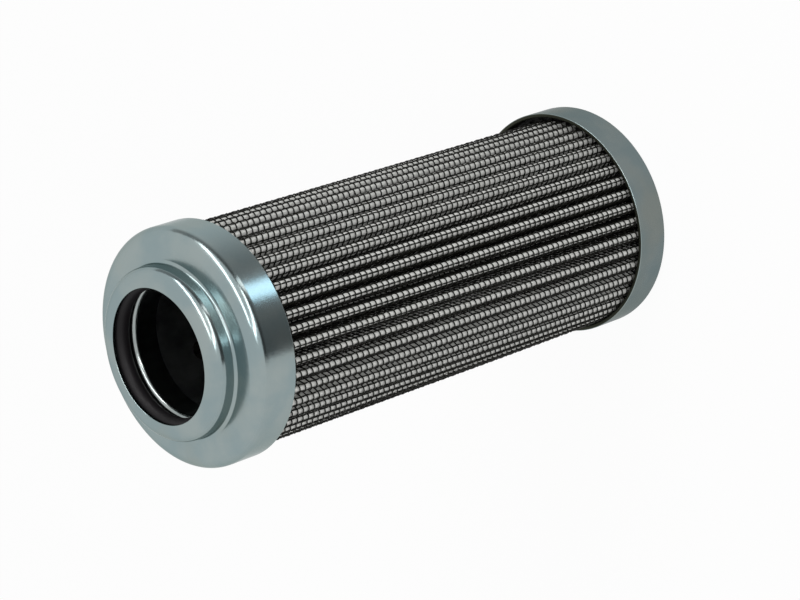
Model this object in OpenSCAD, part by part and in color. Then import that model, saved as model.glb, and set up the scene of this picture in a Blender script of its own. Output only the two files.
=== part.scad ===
// Pleated hydraulic filter element, in millimetres.
// It stands on its closed end: +Z runs along the axis, towards the open neck that fits over a spigot.

/* [Overall] */
// Length from the closed end's face to the neck's front face
length = 115; // [80:0.5:200]
// Outer diameter of both end caps
cap_d = 46; // [42:0.5:80]
// Thickness of the drawn sheet of the caps and the retainer
sheet = 0.8; // [0.6:0.05:1]

/* [Spigot seal] */
// Bore of the retainer's sleeve, which the spigot runs in
sleeve_bore = 25; // [20:0.1:27]
// Length of the sleeve from its front face to its rear edge
sleeve_depth = 5.6; // [3:0.1:9]
// Inside radius of the bend between the retainer's plate and its sleeve
sleeve_bend = 0.3; // [0.2:0.05:0.6]
// Height that the retainer's plate stands forward of its flange
retainer_dish = 0.6; // [0.4:0.05:1.2]
// Cord diameter of the seal ring
seal_cord = 3.5; // [2.5:0.1:4]
// Amount that the seal ring stands inside the sleeve's bore, on the radius
seal_proud = 0.22; // [0.1:0.01:0.4]
// Play of the seal ring in its groove, on each side
seal_play = 0.175; // [0.05:0.005:0.4]

/* [Open end cap] */
// Amount that the turned-in lip stands back from the sleeve's bore, on the radius
lip_relief = 0.45; // [0.05:0.05:1]
// Radius of the neck's rounded front edge
neck_edge = 1.6; // [1.1:0.1:2.2]
// Radius of the hollow fillet at the neck's foot
neck_foot = 1.2; // [0.6:0.1:1.6]
// Radius of the corner between flange and skirt
open_corner = 2.8; // [1.2:0.1:3]
// Height of the skirt below the flange's face
open_skirt = 8.75; // [7:0.05:14]

/* [Closed end cap] */
// Radius of the closed cap's corner
closed_corner = 1; // [0.9:0.1:2]
// Height of the closed cap
closed_skirt = 7.7; // [6:0.1:14]

/* [Support tube] */
// Wall of the perforated support tube
tube_wall = 0.6; // [0.4:0.1:0.8]
// Diameter of the perforations
hole_d = 4; // [2:0.5:5]
// Perforations round the tube in one row
holes_round = 6; // [4:2:8]
// Distance between two rows of perforations
hole_step = 6.6; // [5.5:0.1:10]
// Plain wall left at each end of the tube
tube_margin = 12; // [9:0.5:20]

/* [Pleated pack] */
// Thickness of each wire mesh
mesh_t = 0.18; // [0.15:0.01:0.25]
// Thickness of each fleece
fleece_t = 0.08; // [0.05:0.01:0.2]
// Thickness of the filter medium
media_t = 0.2; // [0.15:0.01:0.4]
// Air left inside each fold, on the radius
crest_gap = 0.06; // [0.04:0.01:0.3]
// Air left at the root between two pleats, on the radius
root_gap = 0.16; // [0.05:0.01:0.3]
// Diameter of the mesh's wires
wire_d = 0.26; // [0.2:0.01:0.3]
// Distance between two wires of the mesh
wire_step = 1.41; // [1.2:0.01:1.6]
// Height that the lengthwise wires stand out of the folds
wire_rise = 0.1; // [0.05:0.01:0.15]
// Gap between the folds and the inside of the cap's skirt
skirt_gap = 0.6; // [0.3:0.1:2]

/* [Bonding] */
// Depth of the adhesive in each cap
potting_h = 4.2; // [2:0.1:5]
// Adhesive under the ends of the pleats
pleat_bed = 0.8; // [0.4:0.1:1.5]
// Adhesive under the tube's foot
tube_bed = 0.4; // [0.2:0.1:1]
// Width of the adhesive bead inside the tube's foot
bead = 1; // [0.5:0.1:3]

/* [Hidden] */
$fn = 96;

// Clearances: between pressed sheets, and between the layers and the adhesive round them
fit = 0.05;
layer_gap = 0.02;
// Rounding of a cut sheet edge
cut_edge = 0.2;
// Steps of a bend in a profile, of a fold's crest and of its root
bend_steps = 8;
crest_steps = 6;
root_steps = 4;

// The seal sets the neck, because the ring fills the room between sleeve and neck wall
sleeve_r = sleeve_bore / 2;
seal_in = sleeve_r - seal_proud;
seal_room = seal_cord + 2 * seal_play;
neck_in = seal_in + seal_cord + layer_gap;
neck_r = neck_in + sheet;
lip_r = sleeve_r + lip_relief;
neck_h = seal_room + retainer_dish - fit;

// Heights in the open end
cap_r = cap_d / 2;
flange_z = length - neck_h;
skirt_z = flange_z - open_skirt;
plate_z = length - sheet - seal_room;
retainer_z = flange_z - sheet - fit;
edge_bend = max(neck_edge, sheet + 0.1);
open_bend = max(open_corner, sheet + 0.1);
closed_bend = max(closed_corner, sheet + 0.1);
foot = [neck_r + neck_foot, flange_z + neck_foot];

// The sleeve plugs into the tube, and the pack stands round the tube
tube_in = sleeve_r + sheet + fit;
tube_out = tube_in + tube_wall;
low_pot = sheet + layer_gap;
tube_low = low_pot + tube_bed;
tube_high = plate_z - sheet - sleeve_bend - fit;
tube_rows = floor((tube_high - tube_low - 2 * tube_margin) / hole_step);
first_row = (tube_low + tube_high - tube_rows * hole_step) / 2;

// Adhesive and pack between the caps
high_pot = retainer_z - sheet - layer_gap;
pack_low = low_pot + pleat_bed;
pack_high = high_pot - pleat_bed;

// Each layer runs from its near face to its far face, counted outwards from the pack's inner face
layers = [mesh_t, fleece_t, media_t, fleece_t, mesh_t];
function layer_start(i) = i == 0 ? 0 : layer_start(i - 1) + layers[i - 1] + layer_gap;
pack_t = layer_start(4) + mesh_t;

// A crest bends round a point near the cap, a root round a point near the tube
pack_in = tube_out + 3 * fit;
pack_out = cap_r - sheet - skirt_gap - wire_rise;
crest_c = pack_out - crest_gap - pack_t;
root_c = pack_in + root_gap + pack_t;
// As many pleats as the root has room for
leg_room = crest_gap + pack_t + root_gap;
pleats = floor(180 / asin(leg_room / root_c));
half = 180 / pleats;
// The leg is the straight line that both bends touch, and lean is the direction square to it
span = [root_c * cos(half) - crest_c, root_c * sin(half)];
lean = atan2(span.y, span.x) - acos(leg_room / norm(span));

// Points on an arc round c from angle a to angle b
function arc(c, r, a, b, steps = bend_steps) =
    [for (i = [0:steps]) c + r * [cos(a + (b - a) * i / steps), sin(a + (b - a) * i / steps)]];

// A point turned round the axis
function turned(p, a) = [p.x * cos(a) - p.y * sin(a), p.x * sin(a) + p.y * cos(a)];

// The outside of a crest and the tops of its legs, as [place, rise] pairs: place is the length along the
// face from the middle of the crest, on the outer mesh's radius
crest_r = crest_gap + pack_t;
crest_end = crest_r * lean * PI / 180;
function wire(place) = [for (k = [-1, -0.5, 0.5, 1]) [place + k * wire_d / 2, abs(k) < 1 ? wire_rise : 0]];
bare_crest = [for (i = [0:crest_steps]) [crest_end * (2 * i / crest_steps - 1), 0]];
// Wires lie half a step and one and a half steps to each side of the middle
wire_foot = (wire_step + wire_d) / 2;
last_bare = min(crest_end, 1.5 * wire_step - wire_d);
wired_side = concat(wire(0.5 * wire_step), [[(wire_foot + last_bare) / 2, 0], [last_bare, 0]],
                    wire(1.5 * wire_step));
wired_crest = concat([for (i = [len(wired_side) - 1:-1:0]) [-wired_side[i].x, wired_side[i].y]],
                     [[0, 0]], wired_side);

// The point at a place on the face that lies t outwards of the pack's inner face
function on_crest(t, place, rise) =
    let (turn = min(abs(place), crest_end) / crest_r * 180 / PI * sign(place),
         past = max(abs(place) - crest_end, 0) * sign(place) * [-sin(turn), cos(turn)])
    [crest_c, 0] + (crest_gap + t + rise) * [cos(turn), sin(turn)] + past;

// One pleat of that face
function pleat(t, crest) = concat(
    [for (p = crest) on_crest(t, p.x, p.y)],
    arc(root_c * [cos(half), sin(half)], root_gap + pack_t - t, lean + 180, 2 * half - lean + 180,
        root_steps));

// The whole face, pleat after pleat round the axis
function pleated_face(t, crest = bare_crest) =
    [for (k = [0:pleats - 1]) for (p = pleat(t, crest)) turned(p, 2 * half * k)];

// The area between two pleated faces
module pleated_ring(near, far, far_crest = bare_crest) {
    difference() {
        polygon(pleated_face(far, far_crest));
        polygon(pleated_face(near));
    }
}

// One layer of the pack, at its full height
module layer(i, crest = bare_crest) {
    translate([0, 0, pack_low])
        linear_extrude(pack_high - pack_low)
            pleated_ring(layer_start(i), layer_start(i) + layers[i], crest);
}

// The room that the pack takes in the adhesive, a hair wider than the pack
module pack_room() {
    pleated_ring(-layer_gap, pack_t + layer_gap, wired_crest);
}

// Two rounded corners that close a cut sheet: from the face at radius a to the face at radius b, open upwards
function lower_edge(a, b, z) = concat(
    arc([a - cut_edge, z + cut_edge], cut_edge, 0, -90, 3),
    arc([b + cut_edge, z + cut_edge], cut_edge, 270, 180, 3));

// Drawn cap with the neck that holds the seal ring
module open_end_cap() {
    neck_c = [neck_r - edge_bend, length - edge_bend];
    skirt_c = [cap_r - open_bend, flange_z - open_bend];
    color("#9aa6a8")
        rotate_extrude()
            polygon(concat(
                arc([lip_r + cut_edge, length - cut_edge], cut_edge, 180, 90, 3),
                arc(neck_c, edge_bend, 90, 0),
                arc(foot, neck_foot, 180, 270),
                arc(skirt_c, open_bend, 90, 0),
                lower_edge(cap_r, cap_r - sheet, skirt_z),
                arc(skirt_c, open_bend - sheet, 0, 90),
                arc(foot, neck_foot + sheet, 270, 180),
                arc(neck_c, edge_bend - sheet, 0, 90),
                arc([lip_r + cut_edge, length - sheet + cut_edge], cut_edge, 270, 180, 3)));
}

// Plain drawn cup that closes the other end
module closed_end_cap() {
    corner_c = [cap_r - closed_bend, closed_bend];
    color("#9aa6a8")
        rotate_extrude()
            polygon(concat(
                [[0, sheet], [0, 0]],
                arc(corner_c, closed_bend, 270, 360),
                arc([cap_r - cut_edge, closed_skirt - cut_edge], cut_edge, 0, 90, 3),
                arc([cap_r - sheet + cut_edge, closed_skirt - cut_edge], cut_edge, 90, 180, 3),
                arc(corner_c, closed_bend - sheet, 360, 270)));
}

// Rubber ring that seals on the spigot
module seal_ring() {
    color("#17171a")
        rotate_extrude()
            translate([seal_in + seal_cord / 2, length - sheet - seal_room / 2])
                circle(d = seal_cord);
}

// Drawn retainer: a flange under the cap, a plate behind the seal ring and a sleeve into the tube
module seal_retainer() {
    bend_c = [sleeve_r + sheet + sleeve_bend, plate_z - sheet - sleeve_bend];
    top = neck_foot + sheet + fit;
    under = top + sheet;
    top_turn = 180 + max(0, asin((foot.y - plate_z) / top));
    under_turn = 180 + max(0, asin((foot.y - plate_z + sheet) / under));
    color("#aeb6b6")
        rotate_extrude()
            polygon(concat(
                arc(bend_c, sheet + sleeve_bend, 90, 180),
                [[sleeve_r, plate_z - sleeve_depth], [sleeve_r + sheet, plate_z - sleeve_depth]],
                arc(bend_c, sleeve_bend, 180, 90),
                [[foot.x + under * cos(under_turn), plate_z - sheet]],
                arc(foot, under, under_turn, 270),
                [[cap_r - open_bend, retainer_z - sheet], [cap_r - open_bend, retainer_z]],
                arc(foot, top, 270, top_turn),
                [[foot.x + top * cos(top_turn), plate_z]]));
}

// Perforated tube that keeps the pack from collapsing inwards
module support_tube() {
    color("#7d8484")
        difference() {
            translate([0, 0, tube_low])
                cylinder(r = tube_out, h = tube_high - tube_low);
            translate([0, 0, tube_low - 1])
                cylinder(r = tube_in, h = tube_high - tube_low + 2);
            for (row = [0:tube_rows])
                for (k = [0:holes_round / 2 - 1])
                    translate([0, 0, first_row + row * hole_step])
                        rotate([0, 90, (k + (row % 2) / 2) * 360 / holes_round])
                            cylinder(d = hole_d, h = 2 * tube_out + 2, center = true, $fn = 32);
        }
}

// The five sheets that are folded together
module inner_mesh() {
    color("#3a3d3f") layer(0);
}

module inner_fleece() {
    color("#d6d6cf") layer(1);
}

module filter_media() {
    color("#e6e3d6") layer(2);
}

module outer_fleece() {
    color("#b9b9b2") layer(3);
}

// The wires that run along the crests are part of the outer sheet
module outer_mesh() {
    color("#3a3d3f") layer(4, wired_crest);
}

// Adhesive under the retainer, round the upper ends of the pleats
module upper_potting() {
    corner = open_bend - sheet - layer_gap;
    corner_c = [cap_r - open_bend, min(flange_z - open_bend, high_pot)];
    color("#101112")
        difference() {
            rotate_extrude()
                polygon(concat(
                    [[tube_out + layer_gap, high_pot], [tube_out + layer_gap, high_pot - potting_h],
                     [cap_r - sheet - layer_gap, high_pot - potting_h]],
                    arc(corner_c, corner, 0, asin(min(1, (high_pot - corner_c.y) / corner)))));
            translate([0, 0, high_pot - potting_h - 1])
                linear_extrude(potting_h + 1 - pleat_bed + layer_gap)
                    pack_room();
        }
}

// Adhesive in the closed cap, with the feet of the tube and the pleats in it
module lower_potting() {
    corner = max(closed_bend - sheet - layer_gap, 0.02);
    color("#101112")
        difference() {
            rotate_extrude()
                polygon(concat(
                    [[tube_in - bead, low_pot + potting_h], [tube_in - bead, low_pot]],
                    arc([cap_r - closed_bend, closed_bend], corner, 270, 360),
                    [[cap_r - closed_bend + corner, low_pot + potting_h]]));
            translate([0, 0, tube_low - layer_gap])
                difference() {
                    cylinder(r = tube_out + layer_gap, h = potting_h);
                    translate([0, 0, -1])
                        cylinder(r = tube_in - layer_gap, h = potting_h + 2);
                }
            translate([0, 0, pack_low - layer_gap])
                linear_extrude(potting_h)
                    pack_room();
        }
}

open_end_cap();
closed_end_cap();
seal_ring();
seal_retainer();
support_tube();
inner_mesh();
inner_fleece();
filter_media();
outer_fleece();
outer_mesh();
upper_potting();
lower_potting();
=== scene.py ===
import math

import bmesh
import bpy
from mathutils import Euler, Matrix, Vector


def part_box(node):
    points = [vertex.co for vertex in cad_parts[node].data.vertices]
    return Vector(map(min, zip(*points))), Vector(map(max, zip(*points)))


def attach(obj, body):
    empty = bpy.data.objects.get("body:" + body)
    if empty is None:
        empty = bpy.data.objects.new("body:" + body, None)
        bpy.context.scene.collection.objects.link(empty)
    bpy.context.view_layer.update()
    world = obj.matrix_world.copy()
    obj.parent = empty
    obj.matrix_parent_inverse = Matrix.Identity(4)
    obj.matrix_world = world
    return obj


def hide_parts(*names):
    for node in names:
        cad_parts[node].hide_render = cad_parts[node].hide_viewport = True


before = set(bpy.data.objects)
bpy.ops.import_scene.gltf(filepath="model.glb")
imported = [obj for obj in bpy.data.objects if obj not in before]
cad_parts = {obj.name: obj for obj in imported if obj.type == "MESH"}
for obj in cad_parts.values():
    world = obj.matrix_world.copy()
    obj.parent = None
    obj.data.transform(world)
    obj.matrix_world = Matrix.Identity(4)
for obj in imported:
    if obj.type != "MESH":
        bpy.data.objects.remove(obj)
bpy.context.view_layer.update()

mm = 0.001  # the pieces' sizes are given in mm, and Blender counts in metres
joinWithin = 0.001 * mm  # points of a new mesh nearer than this are one
joinSolidWithin = 0.002 * mm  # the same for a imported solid's loose triangles
onAxisWithin = 0.0001 * mm  # edges nearer to the axis than this are left out of a turned outline
print("frame loaded:", len(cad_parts), "nodes")


# A shader socket that takes part in ordinary arithmetic
class Signal:
    def __init__(self, recipe, socket):
        self.recipe = recipe
        self.socket = socket

    def math(self, operation, first, second):
        return self.recipe.add("Math", {"operation": operation}, {0: first, 1: second})

    def __add__(self, other):
        return self.math("ADD", self, other)

    def __radd__(self, other):
        return self.math("ADD", other, self)

    def __rsub__(self, other):
        return self.math("SUBTRACT", other, self)

    def __mul__(self, other):
        return self.math("MULTIPLY", self, other)

    def __rmul__(self, other):
        return self.math("MULTIPLY", other, self)


# The nodes of one material, or of the world
class Recipe:
    def __init__(self, tree):
        self.tree = tree
        self.tree.nodes.clear()

    def add(self, kind, settings={}, inputs={}, output=0):
        node = self.tree.nodes.new("ShaderNode" + kind)
        for name, value in settings.items():
            setattr(node, name, value)
        for name, value in inputs.items():
            if isinstance(value, Signal):
                self.tree.links.new(value.socket, node.inputs[name])
            else:
                node.inputs[name].default_value = value
        return Signal(self, node.outputs[output]) if len(node.outputs) else None

    def noise(self, place, scale, detail=2.0, roughness=0.5):
        inputs = {"Vector": place, "Scale": scale, "Detail": detail, "Roughness": roughness}
        return self.add("TexNoise", {}, inputs, "Fac")

    def ramp(self, value, low, high):
        ends = {"Value": value, "From Min": low, "From Max": high}
        return self.add("MapRange", {"interpolation_type": "SMOOTHSTEP"}, ends)

    def part(self, place, axis):
        return self.add("SeparateXYZ", {}, {"Vector": place}, axis)

    def radiusOf(self, place):
        flat = self.add("VectorMath", {"operation": "MULTIPLY"}, {0: place, 1: (1, 1, 0)})
        return self.add("VectorMath", {"operation": "LENGTH"}, {0: flat}, "Value")

    def blend(self, share, first, second):
        return self.add("Mix", {"data_type": "RGBA"}, {0: share, 6: first, 7: second}, 2)

    def bump(self, height, depth):
        return self.add("Bump", {}, {"Strength": 1.0, "Distance": depth, "Height": height})

    def glow(self, strength):
        return self.add("Emission", {}, {"Color": white, "Strength": strength})

    def show(self, shader):
        self.add("OutputMaterial", {}, {"Surface": shader})


def colour(red, green, blue):
    return (red, green, blue, 1.0)


white = colour(1, 1, 1)


def newMaterial(name):
    material = bpy.data.materials.new(name)
    material.use_nodes = True
    recipe = Recipe(material.node_tree)
    place = recipe.add("TexCoord", output="Object")
    return material, recipe, place


# Bright zinc on drawn sheet: cloudy passivation, faint straw tints and a fine orange peel.
# The inner side of the skirts carries painted shade, a dark colour for the shaded gap between skirt
# and pack, and is duller there; the cut edges take it where they lie inside that radius.
zinc = {
    "blue": colour(0.255, 0.322, 0.332),
    "pale": colour(0.305, 0.358, 0.355),
    "cloudScale": 110.0,
    "cloudSpread": (0.35, 0.65),
    "straw": colour(0.320, 0.325, 0.275),
    "strawScale": 60.0,
    "strawSpread": (0.56, 0.72),
    "strawShare": 0.35,
    "edgeOn": colour(0.62, 0.66, 0.65),
    "peelScale": 1500.0,
    "peelDepth": 0.010 * mm,
    "roughness": 0.14,
    "dull": 0.10,
    # Painted shade: a dark colour for the inner side of the skirts, where the gap to the pack lies in
    # shade
    "insideShade": colour(0.045, 0.048, 0.036),
    "insideShadeWithin": (22.96 * mm, 22.86 * mm),
    "insideShadeAbove": (1.0 * mm, 1.2 * mm),
    "insideShadeBelow": (107.2 * mm, 107.0 * mm),
    "insideShadeRoughness": 0.4,
}


def zincMaterial():
    material, recipe, place = newMaterial("zincSheet")
    cloud = recipe.noise(place, zinc["cloudScale"], detail=4.0)
    cloud = recipe.ramp(cloud, *zinc["cloudSpread"])
    patch = recipe.noise(place, zinc["strawScale"], detail=3.0)
    patch = recipe.ramp(patch, *zinc["strawSpread"])
    grain = recipe.noise(place, zinc["peelScale"], detail=3.0, roughness=0.6)
    radius = recipe.radiusOf(place)
    height = recipe.part(place, "Z")
    # Painted shade mask: zinc inside 22.86 mm radius, from 1.2 mm up to 107 mm
    insideShade = recipe.ramp(radius, *zinc["insideShadeWithin"])
    insideShade = insideShade * recipe.ramp(height, *zinc["insideShadeAbove"])
    insideShade = insideShade * recipe.ramp(height, *zinc["insideShadeBelow"])
    tint = recipe.blend(cloud, zinc["blue"], zinc["pale"])
    tint = recipe.blend(patch * zinc["strawShare"], tint, zinc["straw"])
    roughness = zinc["roughness"] + zinc["dull"] * (cloud * 0.5 + grain * 0.5)
    recipe.show(recipe.add("BsdfPrincipled", {}, {
        "Base Color": recipe.blend(insideShade, tint, zinc["insideShade"]),
        "Metallic": 1.0,
        "Specular Tint": zinc["edgeOn"],
        "Roughness": roughness + zinc["insideShadeRoughness"] * insideShade,
        "Normal": recipe.bump(grain, zinc["peelDepth"]),
    }))
    return material


# Plainer steel inside the element
retainerFinish = {
    "dark": colour(0.26, 0.29, 0.29),
    "light": colour(0.36, 0.39, 0.38),
    "cloudScale": 200.0,
    "cloudSpread": (0.3, 0.7),
    "roughness": 0.12,
    "dull": 0.12,
    "grainScale": 1600.0,
    "grainDepth": 0.01 * mm,
}

tubeFinish = {
    "dark": colour(0.12, 0.125, 0.13),
    "light": colour(0.22, 0.23, 0.23),
    "cloudScale": 150.0,
    "cloudSpread": (0.3, 0.7),
    "roughness": 0.35,
    "dull": 0.12,
    "grainScale": 1200.0,
    "grainDepth": 0.01 * mm,
}


def plainMetal(name, finish):
    material, recipe, place = newMaterial(name)
    cloud = recipe.noise(place, finish["cloudScale"], detail=4.0)
    share = recipe.ramp(cloud, *finish["cloudSpread"])
    grain = recipe.noise(place, finish["grainScale"])
    recipe.show(recipe.add("BsdfPrincipled", {}, {
        "Base Color": recipe.blend(share, finish["dark"], finish["light"]),
        "Metallic": 1.0,
        "Roughness": finish["roughness"] + cloud * finish["dull"],
        "Normal": recipe.bump(grain, finish["grainDepth"]),
    }))
    return material


# Satin black coating of the wires
wireFinish = {
    "dark": colour(0.010, 0.010, 0.008),
    "light": colour(0.018, 0.018, 0.015),
    "cloudScale": 900.0,
    "roughness": 0.42,
    "dull": 0.2,
    "gloss": 0.16,
    "grainScale": 5000.0,
    "grainDepth": 0.006 * mm,
}


def coatedWire():
    material, recipe, place = newMaterial("coatedWire")
    cloud = recipe.noise(place, wireFinish["cloudScale"], detail=3.0)
    grain = recipe.noise(place, wireFinish["grainScale"])
    recipe.show(recipe.add("BsdfPrincipled", {}, {
        "Base Color": recipe.blend(cloud, wireFinish["dark"], wireFinish["light"]),
        "Roughness": wireFinish["roughness"] + cloud * wireFinish["dull"],
        "Specular IOR Level": wireFinish["gloss"],
        "Normal": recipe.bump(grain, wireFinish["grainDepth"]),
    }))
    return material


# Matt fibre sheets
sheetFinish = {
    "fleece": (colour(0.52, 0.525, 0.50), colour(0.66, 0.665, 0.64)),
    "glass": (colour(0.68, 0.66, 0.60), colour(0.82, 0.80, 0.74)),
    "cloudScale": 700.0,
    "cloudShare": 0.6,
    "fibreScale": 6000.0,
    "fibreShare": 0.4,
    "fibreDepth": 0.02 * mm,
    "roughness": 0.85,
    "gloss": 0.2,
}


def softSheet(name, dark, light):
    material, recipe, place = newMaterial(name)
    cloud = recipe.noise(place, sheetFinish["cloudScale"], detail=4.0)
    fibre = recipe.noise(place, sheetFinish["fibreScale"], detail=4.0, roughness=0.7)
    share = cloud * sheetFinish["cloudShare"] + fibre * sheetFinish["fibreShare"]
    recipe.show(recipe.add("BsdfPrincipled", {}, {
        "Base Color": recipe.blend(share, dark, light),
        "Roughness": sheetFinish["roughness"],
        "Specular IOR Level": sheetFinish["gloss"],
        "Normal": recipe.bump(fibre, sheetFinish["fibreDepth"]),
    }))
    return material


# Black rubber and black cured adhesive
rubberFinish = {
    "dark": colour(0.006, 0.005, 0.006),
    "light": colour(0.011, 0.010, 0.011),
    "cloudScale": 300.0,
    "roughness": 0.42,
    "dull": 0.1,
    "gloss": 0.2,
    "grainScale": 1200.0,
    "grainDepth": 0.01 * mm,
}

adhesiveFinish = {
    "dark": colour(0.006, 0.006, 0.006),
    "light": colour(0.014, 0.014, 0.013),
    "cloudScale": 300.0,
    "roughness": 0.5,
    "dull": 0.1,
    "gloss": 0.3,
    "grainScale": 1200.0,
    "grainDepth": 0.08 * mm,
}


def blackPlastic(name, finish):
    material, recipe, place = newMaterial(name)
    cloud = recipe.noise(place, finish["cloudScale"], detail=4.0)
    grain = recipe.noise(place, finish["grainScale"], detail=4.0)
    recipe.show(recipe.add("BsdfPrincipled", {}, {
        "Base Color": recipe.blend(cloud, finish["dark"], finish["light"]),
        "Roughness": finish["roughness"] + cloud * finish["dull"],
        "Specular IOR Level": finish["gloss"],
        "Normal": recipe.bump(grain, finish["grainDepth"]),
    }))
    return material


zincSheet = zincMaterial()
retainerSteel = plainMetal("retainerSteel", retainerFinish)
tubeSteel = plainMetal("tubeSteel", tubeFinish)
wireCoating = coatedWire()
fleeceCloth = softSheet("fleeceCloth", *sheetFinish["fleece"])
glassMedia = softSheet("glassMedia", *sheetFinish["glass"])
sealRubber = blackPlastic("sealRubber", rubberFinish)
adhesiveResin = blackPlastic("adhesiveResin", adhesiveFinish)
print("materials made")


def meshFrom(bm, name):
    mesh = bpy.data.meshes.new(name)
    bm.to_mesh(mesh)
    bm.free()
    return mesh


def addObject(name, data):
    added = bpy.data.objects.new(name, data)
    bpy.context.scene.collection.objects.link(added)
    return added


def addPiece(mesh, name, material, stands):
    mesh.materials.clear()
    mesh.materials.append(material)
    piece = addObject(name, mesh)
    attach(piece, "root")
    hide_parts(*stands)
    return piece


# Turns what the mesh holds fully round the Z axis and gives it as a smooth mesh
def turnFully(bm, name, steps):
    bmesh.ops.spin(bm, geom=bm.verts[:] + bm.edges[:], cent=(0, 0, 0), axis=(0, 0, 1),
                   dvec=(0, 0, 0), angle=math.tau, steps=steps, use_merge=True)
    bmesh.ops.remove_doubles(bm, verts=bm.verts[:], dist=joinWithin)
    bmesh.ops.recalc_face_normals(bm, faces=bm.faces[:])
    mesh = meshFrom(bm, name)
    mesh.shade_smooth()
    return mesh


# A closed outline of (radius, height, rounding) corners in mm, turned round the axis
def turnOutline(name, corners, steps, segments):
    bm = bmesh.new()
    points = [bm.verts.new((radius * mm, 0, height * mm)) for radius, height, _ in corners]
    bm.faces.new(points)
    for point, (*_, rounding) in zip(points, corners):
        if rounding > 0:
            bmesh.ops.bevel(bm, geom=[point], offset=rounding * mm, offset_type="OFFSET",
                            affect="VERTICES", segments=segments, profile=0.5, material=-1)
    bmesh.ops.delete(bm, geom=bm.faces[:], context="FACES_ONLY")
    onAxis = [e for e in bm.edges if max(v.co.x for v in e.verts) < onAxisWithin]
    bmesh.ops.delete(bm, geom=onAxis, context="EDGES")
    return turnFully(bm, name, steps)


def keepFlatsFlat(piece):
    weighting = piece.modifiers.new("evenNormals", "WEIGHTED_NORMAL")
    weighting.weight = 100  # 50 is neutral, and 100 favours the large flats most
    weighting.keep_sharp = True


# Open end cap: one drawn sheet with a skirt, a flange, a neck and a turned-in lip
openCap = {
    "sheet": 0.8,
    "neckRadius": 16.6,
    "neckHeight": 4.4,
    "lipHole": 12.95,
    "neckEdge": 2.3,
    "neckFoot": 0.7,
    "footInside": 2.0,
    "corner": 2.8,
    "cutEdge": 0.2,
    "turnSteps": 160,
    "bendSegments": 12,
}


def makeOpenCap():
    low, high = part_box("open_end_cap")
    rim, top, bottom = high.x / mm, high.z / mm, low.z / mm
    size, sheet, cut = openCap, openCap["sheet"], openCap["cutEdge"]
    flange = top - size["neckHeight"]
    corners = [
        (size["lipHole"], top, cut),
        (size["neckRadius"], top, size["neckEdge"]),
        (size["neckRadius"], flange, size["neckFoot"]),
        (rim, flange, size["corner"]),
        (rim, bottom, cut),
        (rim - sheet, bottom, cut),
        (rim - sheet, flange - sheet, size["corner"] - sheet),
        (size["neckRadius"] - sheet, flange - sheet, size["footInside"]),
        (size["neckRadius"] - sheet, top - sheet, size["neckEdge"] - sheet),
        (size["lipHole"], top - sheet, cut),
    ]
    mesh = turnOutline("open_cap_shell", corners, size["turnSteps"], size["bendSegments"])
    keepFlatsFlat(addPiece(mesh, "open_cap_shell", zincSheet, ["open_end_cap"]))


# Closed end cap: a plain drawn cup
closedCap = {
    "sheet": 0.8,
    "corner": 1.0,
    "cutEdge": 0.2,
    "turnSteps": 160,
    "bendSegments": 8,
}


def makeClosedCap():
    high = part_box("closed_end_cap")[1]
    rim, top = high.x / mm, high.z / mm
    size, sheet, cut = closedCap, closedCap["sheet"], closedCap["cutEdge"]
    corners = [
        (0, 0, 0),
        (rim, 0, size["corner"]),
        (rim, top, cut),
        (rim - sheet, top, cut),
        (rim - sheet, sheet, cut),
        (0, sheet, 0),
    ]
    mesh = turnOutline("closed_cap_shell", corners, size["turnSteps"], size["bendSegments"])
    keepFlatsFlat(addPiece(mesh, "closed_cap_shell", zincSheet, ["closed_end_cap"]))


# Retainer: the sleeve with its rounded edge, the plate behind the seal ring and the flange
retainer = {
    "sheet": 0.8,
    "sleeveRadius": 12.5,
    "sleeveDepth": 5.6,
    "edge": 1.1,
    "dish": 0.6,
    "dishInner": 16.35,
    "dishOuter": 17.8,
    "cutEdge": 0.1,
    "turnSteps": 144,
    "bendSegments": 8,
}


def makeRetainer():
    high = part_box("seal_retainer")[1]
    size, sheet, cut = retainer, retainer["sheet"], retainer["cutEdge"]
    rim, plate = high.x / mm, high.z / mm
    flange, rear = plate - size["dish"], plate - size["sleeveDepth"]
    corners = [
        (size["sleeveRadius"], rear, cut),
        (size["sleeveRadius"], plate, size["edge"]),
        (size["dishInner"], plate, 0),
        (size["dishOuter"], flange, 0),
        (rim, flange, 0),
        (rim, flange - sheet, 0),
        (size["dishOuter"], flange - sheet, 0),
        (size["dishInner"], plate - sheet, 0),
        (size["sleeveRadius"] + sheet, plate - sheet, size["edge"] - sheet),
        (size["sleeveRadius"] + sheet, rear, cut),
    ]
    mesh = turnOutline("retainer_shell", corners, size["turnSteps"], size["bendSegments"])
    piece = addPiece(mesh, "retainer_shell", retainerSteel, ["seal_retainer"])
    keepFlatsFlat(piece)


# Seal ring: a round cord
sealRing = {
    "cord": 3.5,
    "cordSides": 32,
    "turnSteps": 144,
}


def makeSealRing():
    low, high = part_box("seal_ring")
    radius = sealRing["cord"] * mm / 2
    bm = bmesh.new()
    bmesh.ops.create_circle(bm, segments=sealRing["cordSides"], radius=radius)
    bmesh.ops.rotate(bm, verts=bm.verts[:], matrix=Euler((math.pi / 2, 0, 0)).to_matrix())
    bmesh.ops.translate(bm, verts=bm.verts[:], vec=(high.x - radius, 0, (low.z + high.z) / 2))
    mesh = turnFully(bm, "seal_ring_smooth", sealRing["turnSteps"])
    addPiece(mesh, "seal_ring_smooth", sealRubber, ["seal_ring"])


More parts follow.
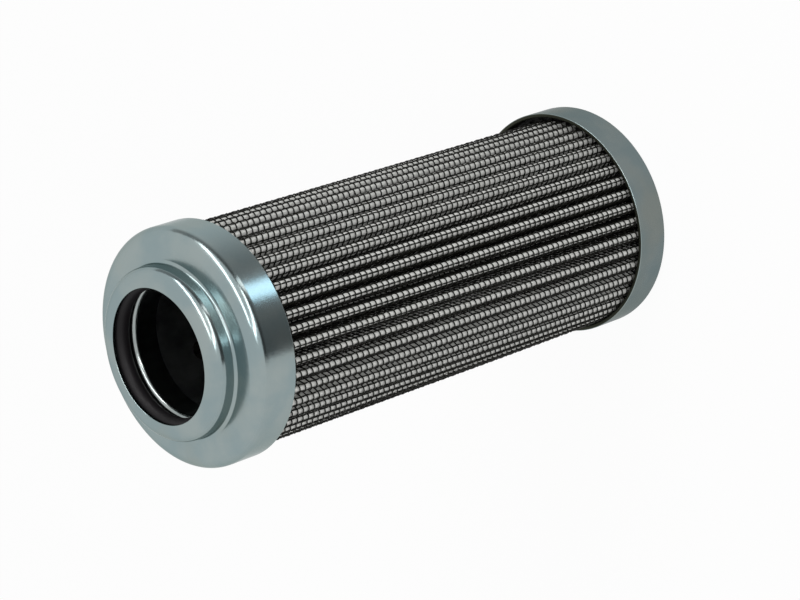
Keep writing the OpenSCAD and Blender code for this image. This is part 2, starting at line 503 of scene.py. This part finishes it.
# The pack was bonded by hand: its folds lean to one side and are spread on one flank of the
# element, and the whole pack has a slight turn between its ends, a lean in the closed cap and a bow.
# Heights, radii, lean and bow are in mm. Turns, spreads and sharpFrom, the angle from which an edge
# of a fold is shaded sharp, are in degrees.
bonding = {
    "lowAdhesive": 5.02,
    "highAdhesive": 104.7,
    "lowTurn": -3.05,
    "highTurn": 0.05,
    "foldRoot": 14.2,
    "foldCrest": 21.5,
    "foldTurn": 1.5,
    "spreadAt": -81.0,
    "lowSpread": -7.4,
    "highSpread": -2.2,
    "spreadPower": 8,
    "sleeve": 107.0,
    "lean": (-0.05, -0.45, 0),
    "bow": (-0.015, -0.14, 0),
    "sharpFrom": 35.0,
}


def between(value, low, high):
    return min(max((value - low) / (high - low), 0), 1)


def asBonded(point, lean=1.0, bow=1.0):
    height, radius = point.z / mm, Vector(point.xy).length / mm
    share = between(height, bonding["lowAdhesive"], bonding["highAdhesive"])
    turn = bonding["lowTurn"] + (bonding["highTurn"] - bonding["lowTurn"]) * share
    turn += bonding["foldTurn"] * between(radius, bonding["foldRoot"], bonding["foldCrest"])
    spread = bonding["lowSpread"] + (bonding["highSpread"] - bonding["lowSpread"]) * share
    away = math.atan2(point.y, point.x) - math.radians(bonding["spreadAt"])
    turn += spread * ((1 + math.cos(away)) / 2) ** bonding["spreadPower"]
    above = min(height / bonding["sleeve"], 1)
    side = Vector(bonding["lean"]) * lean * (1 - above)
    side += Vector(bonding["bow"]) * bow * 4 * above * (1 - above)
    return Matrix.Rotation(math.radians(turn), 3, "Z") @ point + side * mm


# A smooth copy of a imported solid, as bonded, with its loose triangles joined first
def smoothCopy(node, name, material, lean=1.0, bow=1.0):
    bm = bmesh.new()
    bm.from_mesh(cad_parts[node].data)
    bmesh.ops.remove_doubles(bm, verts=bm.verts[:], dist=joinSolidWithin)
    for vert in bm.verts:
        vert.co = asBonded(vert.co, lean, bow)
    mesh = meshFrom(bm, name)
    mesh.shade_smooth()
    mesh.set_sharp_from_angle(angle=math.radians(bonding["sharpFrom"]))
    addPiece(mesh, name, material, [node])


makeOpenCap()
makeClosedCap()
makeRetainer()
makeSealRing()
smoothCopy("support_tube", "tube_wall", tubeSteel, bow=0)
smoothCopy("inner_mesh", "clean_mesh_folds", wireCoating)
smoothCopy("inner_fleece", "clean_fleece_folds", fleeceCloth)
smoothCopy("filter_media", "media_folds", glassMedia)
smoothCopy("outer_fleece", "fleece_folds", fleeceCloth)
smoothCopy("upper_potting", "upper_adhesive", adhesiveResin, lean=0, bow=0)
smoothCopy("lower_potting", "lower_adhesive", adhesiveResin, lean=0, bow=0)
print("caps, seal, retainer, tube, folds and adhesive made")


# Woven wire over the pleats, in mm. Places along a pleat are counted from the middle of its crest,
# quarters are quarters of a mesh step, and lengthwise wires go by number, 0 being the first one past
# the middle. A place is at a crossing if it is within atCrossing steps of one.
weave = {
    "pleats": 46,
    "crestCentre": 20.64,
    "foldRadius": 0.86,
    "wire": 0.32,
    "step": 1.41,
    "phase": 0.52,
    "sink": 0.02,
    "swing": 0.08,
    "atCrossing": 0.01,
    "hoopQuarters": (-10, -8, -6, -5, -4, -3, -2, -1, 0, 1, 2, 3, 4, 5, 6, 8, 10),
    "hoopEnd": 6.8,
    "lowRow": 4.6,
    "highRow": 105.2,
    "hoopBundles": 4,
    "wovenPairs": ((-1, 0), (-2, 1)),
    "plainPairs": ((-3, 2),),
}


# The point over a place on the first pleat, which has its crest on the X axis
def onPleat(place, rise):
    radius = weave["foldRadius"] + rise
    bend = weave["foldRadius"] * math.pi / 2
    if abs(place) < bend:
        turn = place / weave["foldRadius"]
        return Vector((weave["crestCentre"] + radius * math.cos(turn), radius * math.sin(turn), 0))
    return Vector((weave["crestCentre"] - abs(place) + bend, math.copysign(radius, place), 0))


def onPleatNumber(pleat, place, rise, height):
    turn = Matrix.Rotation(math.tau * pleat / weave["pleats"], 3, "Z")
    return asBonded((turn @ onPleat(place, rise) + Vector((0, 0, height))) * mm)


def rowHeight(row):
    return weave["lowRow"] + row * weave["step"]


# A wire rises over every second crossing and dips under the others
def riseAt(row, place):
    crossing = (place - weave["phase"]) / weave["step"] - 0.5
    if abs(crossing - round(crossing)) > weave["atCrossing"]:
        return -weave["sink"]
    over = 1 if (row + round(crossing)) % 2 == 0 else -1
    return weave["swing"] * over - weave["sink"]


def hoop(row):
    places = [weave["phase"] + weave["step"] * quarter / 4 for quarter in weave["hoopQuarters"]]
    places = [-weave["hoopEnd"]] + places + [weave["hoopEnd"]]
    return [onPleatNumber(pleat, place, riseAt(row, place), rowHeight(row))
            for pleat in range(weave["pleats"]) for place in places]


def lengthwise(pleat, wire, rows, woven):
    place = weave["phase"] + (wire + 0.5) * weave["step"]
    level = -weave["sink"]
    if not woven:
        return [onPleatNumber(pleat, place, level, rowHeight(row)) for row in (rows[0], rows[-1])]
    path = []
    for row in rows:
        hoopRise = riseAt(row, place) + weave["sink"]
        path.append(onPleatNumber(pleat, place, level - hoopRise, rowHeight(row)))
        path.append(onPleatNumber(pleat, place, level, rowHeight(row + 0.5)))
    return path


def wiresToPiece(paths, closed, name):
    curve = bpy.data.curves.new(name, "CURVE")
    curve.dimensions = "3D"
    curve.bevel_depth = weave["wire"] * mm / 2
    curve.bevel_resolution = 0  # four sides
    curve.twist_mode = "Z_UP"
    for path in paths:
        spline = curve.splines.new("POLY")
        spline.points.add(len(path) - 1)
        spline.points.foreach_set("co", [n for point in path for n in (*point, 1.0)])
        spline.use_cyclic_u = closed
    wires = addObject(name + "_curve", curve)
    seen = wires.evaluated_get(bpy.context.evaluated_depsgraph_get())
    mesh = bpy.data.meshes.new_from_object(seen)
    bpy.data.objects.remove(wires)
    mesh.name = name
    mesh.shade_smooth()
    addPiece(mesh, name, wireCoating, ["outer_mesh"])
    print(name, sum(len(p.vertices) - 2 for p in mesh.polygons), "triangles")


# The hoops are joined in bundles and the lengthwise wires in pairs, to keep each piece light
def makeWeave():
    rows = list(range(int((weave["highRow"] - weave["lowRow"]) / weave["step"]) + 1))
    share = math.ceil(len(rows) / weave["hoopBundles"])
    for bundle in range(weave["hoopBundles"]):
        own = rows[bundle * share:(bundle + 1) * share]
        wiresToPiece([hoop(row) for row in own], True, f"hoop_wires_{bundle + 1}")
    kinds = (("crest_wires", "wovenPairs", True), ("flank_wires", "plainPairs", False))
    for name, pairs, woven in kinds:
        for number, pair in enumerate(weave[pairs]):
            paths = [lengthwise(pleat, wire, rows, woven)
                     for pleat in range(weave["pleats"]) for wire in pair]
            wiresToPiece(paths, False, f"{name}_{number + 1}")


makeWeave()
print("weave made")


# The camera lies on its side, because the element stands here and lies in the photograph.
# Its rotation is in degrees, and its lens in mm.
view = {
    "lens": 130.5,
    "location": (0.42494, -0.04592, 0.42765),
    "rotation": (-20.46, 45.47, -33.19),
    "aim": (0, 0, 0.0575),
}


def makeCamera():
    data = bpy.data.cameras.new("camera")
    data.lens = view["lens"]
    camera = addObject("camera", data)
    camera.location = view["location"]
    camera.rotation_euler = [math.radians(angle) for angle in view["rotation"]]
    bpy.context.scene.camera = camera


# Narrow lamps that only reflections show, and two soft ones that light the object. Each end is an
# azimuth from the camera's side and an elevation, in degrees, and a distance from the aim, in metres.
# Brightness is the level that a mirror shows, 1 being white.
lamps = {
    "longStrip": {
        "ends": ((-84, 7, 1.0), (-3, 51, 1.0)),
        "width": 0.12,
        "brightness": 6.0,
        "reaches": ("glossy",),
    },
    "frontStripLow": {
        "ends": ((-31, 4, 1.0), (-2, 19, 1.0)),
        "width": 0.12,
        "brightness": 6.0,
        "reaches": ("glossy",),
    },
    "frontStripHigh": {
        "ends": ((-2, 19, 1.0), (9, 41, 1.0)),
        "width": 0.12,
        "brightness": 6.0,
        "reaches": ("glossy",),
    },
    "floorStrip": {
        "ends": ((-33, -8, 0.14), (-36, 4.2, 0.40)),
        "width": 0.035,
        "brightness": 2.6,
        "reaches": ("glossy",),
    },
    "floorPatch": {
        "ends": ((-25, -17, 0.100), (-28, -9, 0.135)),
        "width": 0.03,
        "brightness": 3.6,
        "reaches": ("glossy",),
        "tint": (0.60, 0.84, 1.0),
    },
    "softKey": {
        "ends": ((12, 15, 1.0), (12, 45, 1.0)),
        "width": 0.5,
        "brightness": 3.5,
        "reaches": ("diffuse",),
    },
    "softFill": {
        "ends": ((-60, 20, 1.0), (-60, 50, 1.0)),
        "width": 0.5,
        "brightness": 3.2,
        "reaches": ("diffuse",),
    },
}


def cameraSide():
    return math.atan2(view["location"][1], view["location"][0])


def placeSeen(azimuth, elevation, distance):
    turn = cameraSide() - math.radians(azimuth)
    rise = math.radians(elevation)
    flat = math.cos(rise)
    direction = Vector((flat * math.cos(turn), flat * math.sin(turn), math.sin(rise)))
    return Vector(view["aim"]) + distance * direction


def makeLamp(name, ends, width, brightness, reaches, tint=(1, 1, 1)):
    first, last = [placeSeen(*end) for end in ends]
    middle = (first + last) / 2
    along = (last - first).normalized()
    back = middle - Vector(view["aim"])
    back = (back - back.dot(along) * along).normalized()
    data = bpy.data.lights.new(name, "AREA")
    data.shape = "RECTANGLE"
    data.size = width
    data.size_y = (last - first).length
    data.energy = brightness * math.pi * data.size * data.size_y
    data.color = tint
    lamp = addObject(name, data)
    lamp.location = middle
    lamp.rotation_euler = Matrix((along.cross(back), along, back)).transposed().to_euler()
    lamp.visible_camera = False
    lamp.visible_diffuse = "diffuse" in reaches
    lamp.visible_glossy = "glossy" in reaches
    print(name, "ends at heights", round(first.z, 3), round(last.z, 3))


# A graded card that lies round a part of the element, pale at one end and dark at the other.
# Only reflections show it. Its turns are counted from the camera's side, in degrees; near and far
# are a radius and a height, in metres.
card = {
    "dark": 30.4,
    "middle": -44.0,
    "pale": -115.0,
    "darkLevel": 0.16,
    "middleLevel": 0.34,
    "near": (0.085, 0.001),
    "far": (1.2, 0.17),
    "fadeFrom": 0.16,
    "fadeTo": 0.34,
    "fade": 0.6,
    "steps": 36,
}


def cardTurn(name):
    return cameraSide() - math.radians(card[name])


def cardMaterial():
    material, recipe, place = newMaterial("gradedCard")
    ends = {0: recipe.part(place, "Y"), 1: recipe.part(place, "X")}
    turn = recipe.add("Math", {"operation": "ARCTAN2"}, ends)
    first = recipe.ramp(turn, cardTurn("dark"), cardTurn("middle"))
    second = recipe.ramp(turn, cardTurn("middle"), cardTurn("pale"))
    level = card["darkLevel"] + (card["middleLevel"] - card["darkLevel"]) * first
    level = level + (1 - card["middleLevel"]) * second
    away = recipe.ramp(recipe.radiusOf(place), card["fadeFrom"], card["fadeTo"])
    recipe.show(recipe.glow(level * (1 - card["fade"] * away)))
    return material


def makeCard():
    bm = bmesh.new()
    ends = [bm.verts.new((radius, 0, height)) for radius, height in (card["near"], card["far"])]
    bm.edges.new(ends)
    bmesh.ops.rotate(bm, verts=bm.verts[:], cent=(0, 0, 0),
                     matrix=Matrix.Rotation(cardTurn("dark"), 3, "Z"))
    bmesh.ops.spin(bm, geom=bm.verts[:] + bm.edges[:], cent=(0, 0, 0), axis=(0, 0, 1),
                   dvec=(0, 0, 0), angle=cardTurn("pale") - cardTurn("dark"), steps=card["steps"])
    mesh = meshFrom(bm, "gradedCard")
    mesh.materials.append(cardMaterial())
    sheet = addObject("gradedCard", mesh)
    sheet.visible_camera = False
    sheet.visible_diffuse = False
    sheet.visible_shadow = False


# White where the camera or a reflection sees it, and plain light for everything else.
# Reflections show the floor darker at the element's foot, a painted shadow, from footInner to
# footOuter, in metres.
studio = {
    "ambient": 0.55,
    "floorWhite": 0.94,
    "floorColour": colour(0.9, 0.9, 0.9),
    "floorSize": 6.0,
    "footInner": 0.03,
    "footOuter": 0.07,
    "footShadowDim": 0.42,
}


def seenDirectly(recipe):
    rays = [recipe.add("LightPath", output=name)
            for name in ("Is Camera Ray", "Is Glossy Ray", "Is Transmission Ray")]
    return rays[0] + rays[1] + rays[2]


def makeWorld():
    world = bpy.data.worlds.new("studio")
    world.use_nodes = True
    bpy.context.scene.world = world
    recipe = Recipe(world.node_tree)
    strength = studio["ambient"] + (1 - studio["ambient"]) * seenDirectly(recipe)
    sky = recipe.add("Background", {}, {"Color": white, "Strength": strength})
    recipe.add("OutputWorld", {}, {"Surface": sky})


def makeFloor():
    bm = bmesh.new()
    bmesh.ops.create_grid(bm, x_segments=1, y_segments=1, size=studio["floorSize"] / 2)
    mesh = meshFrom(bm, "floor")
    material, recipe, place = newMaterial("floorPaper")
    paper = recipe.add("BsdfDiffuse", {}, {"Color": studio["floorColour"]})
    # Painted shadow: reflections see the floor's glow dimmed near the element's foot
    paintedFootShadow = recipe.ramp(recipe.radiusOf(place), studio["footOuter"], studio["footInner"])
    mirrored = recipe.add("LightPath", output="Is Glossy Ray")
    glow = recipe.glow(1 - studio["footShadowDim"] * paintedFootShadow * mirrored)
    share = studio["floorWhite"] * seenDirectly(recipe)
    recipe.show(recipe.add("MixShader", {}, {0: share, 1: paper, 2: glow}))
    mesh.materials.append(material)
    addObject("floor", mesh)


makeCamera()
for name, lamp in lamps.items():
    makeLamp(name, **lamp)
makeCard()
makeWorld()
makeFloor()
bpy.context.scene.view_settings.view_transform = "Standard"
print("camera and light made")
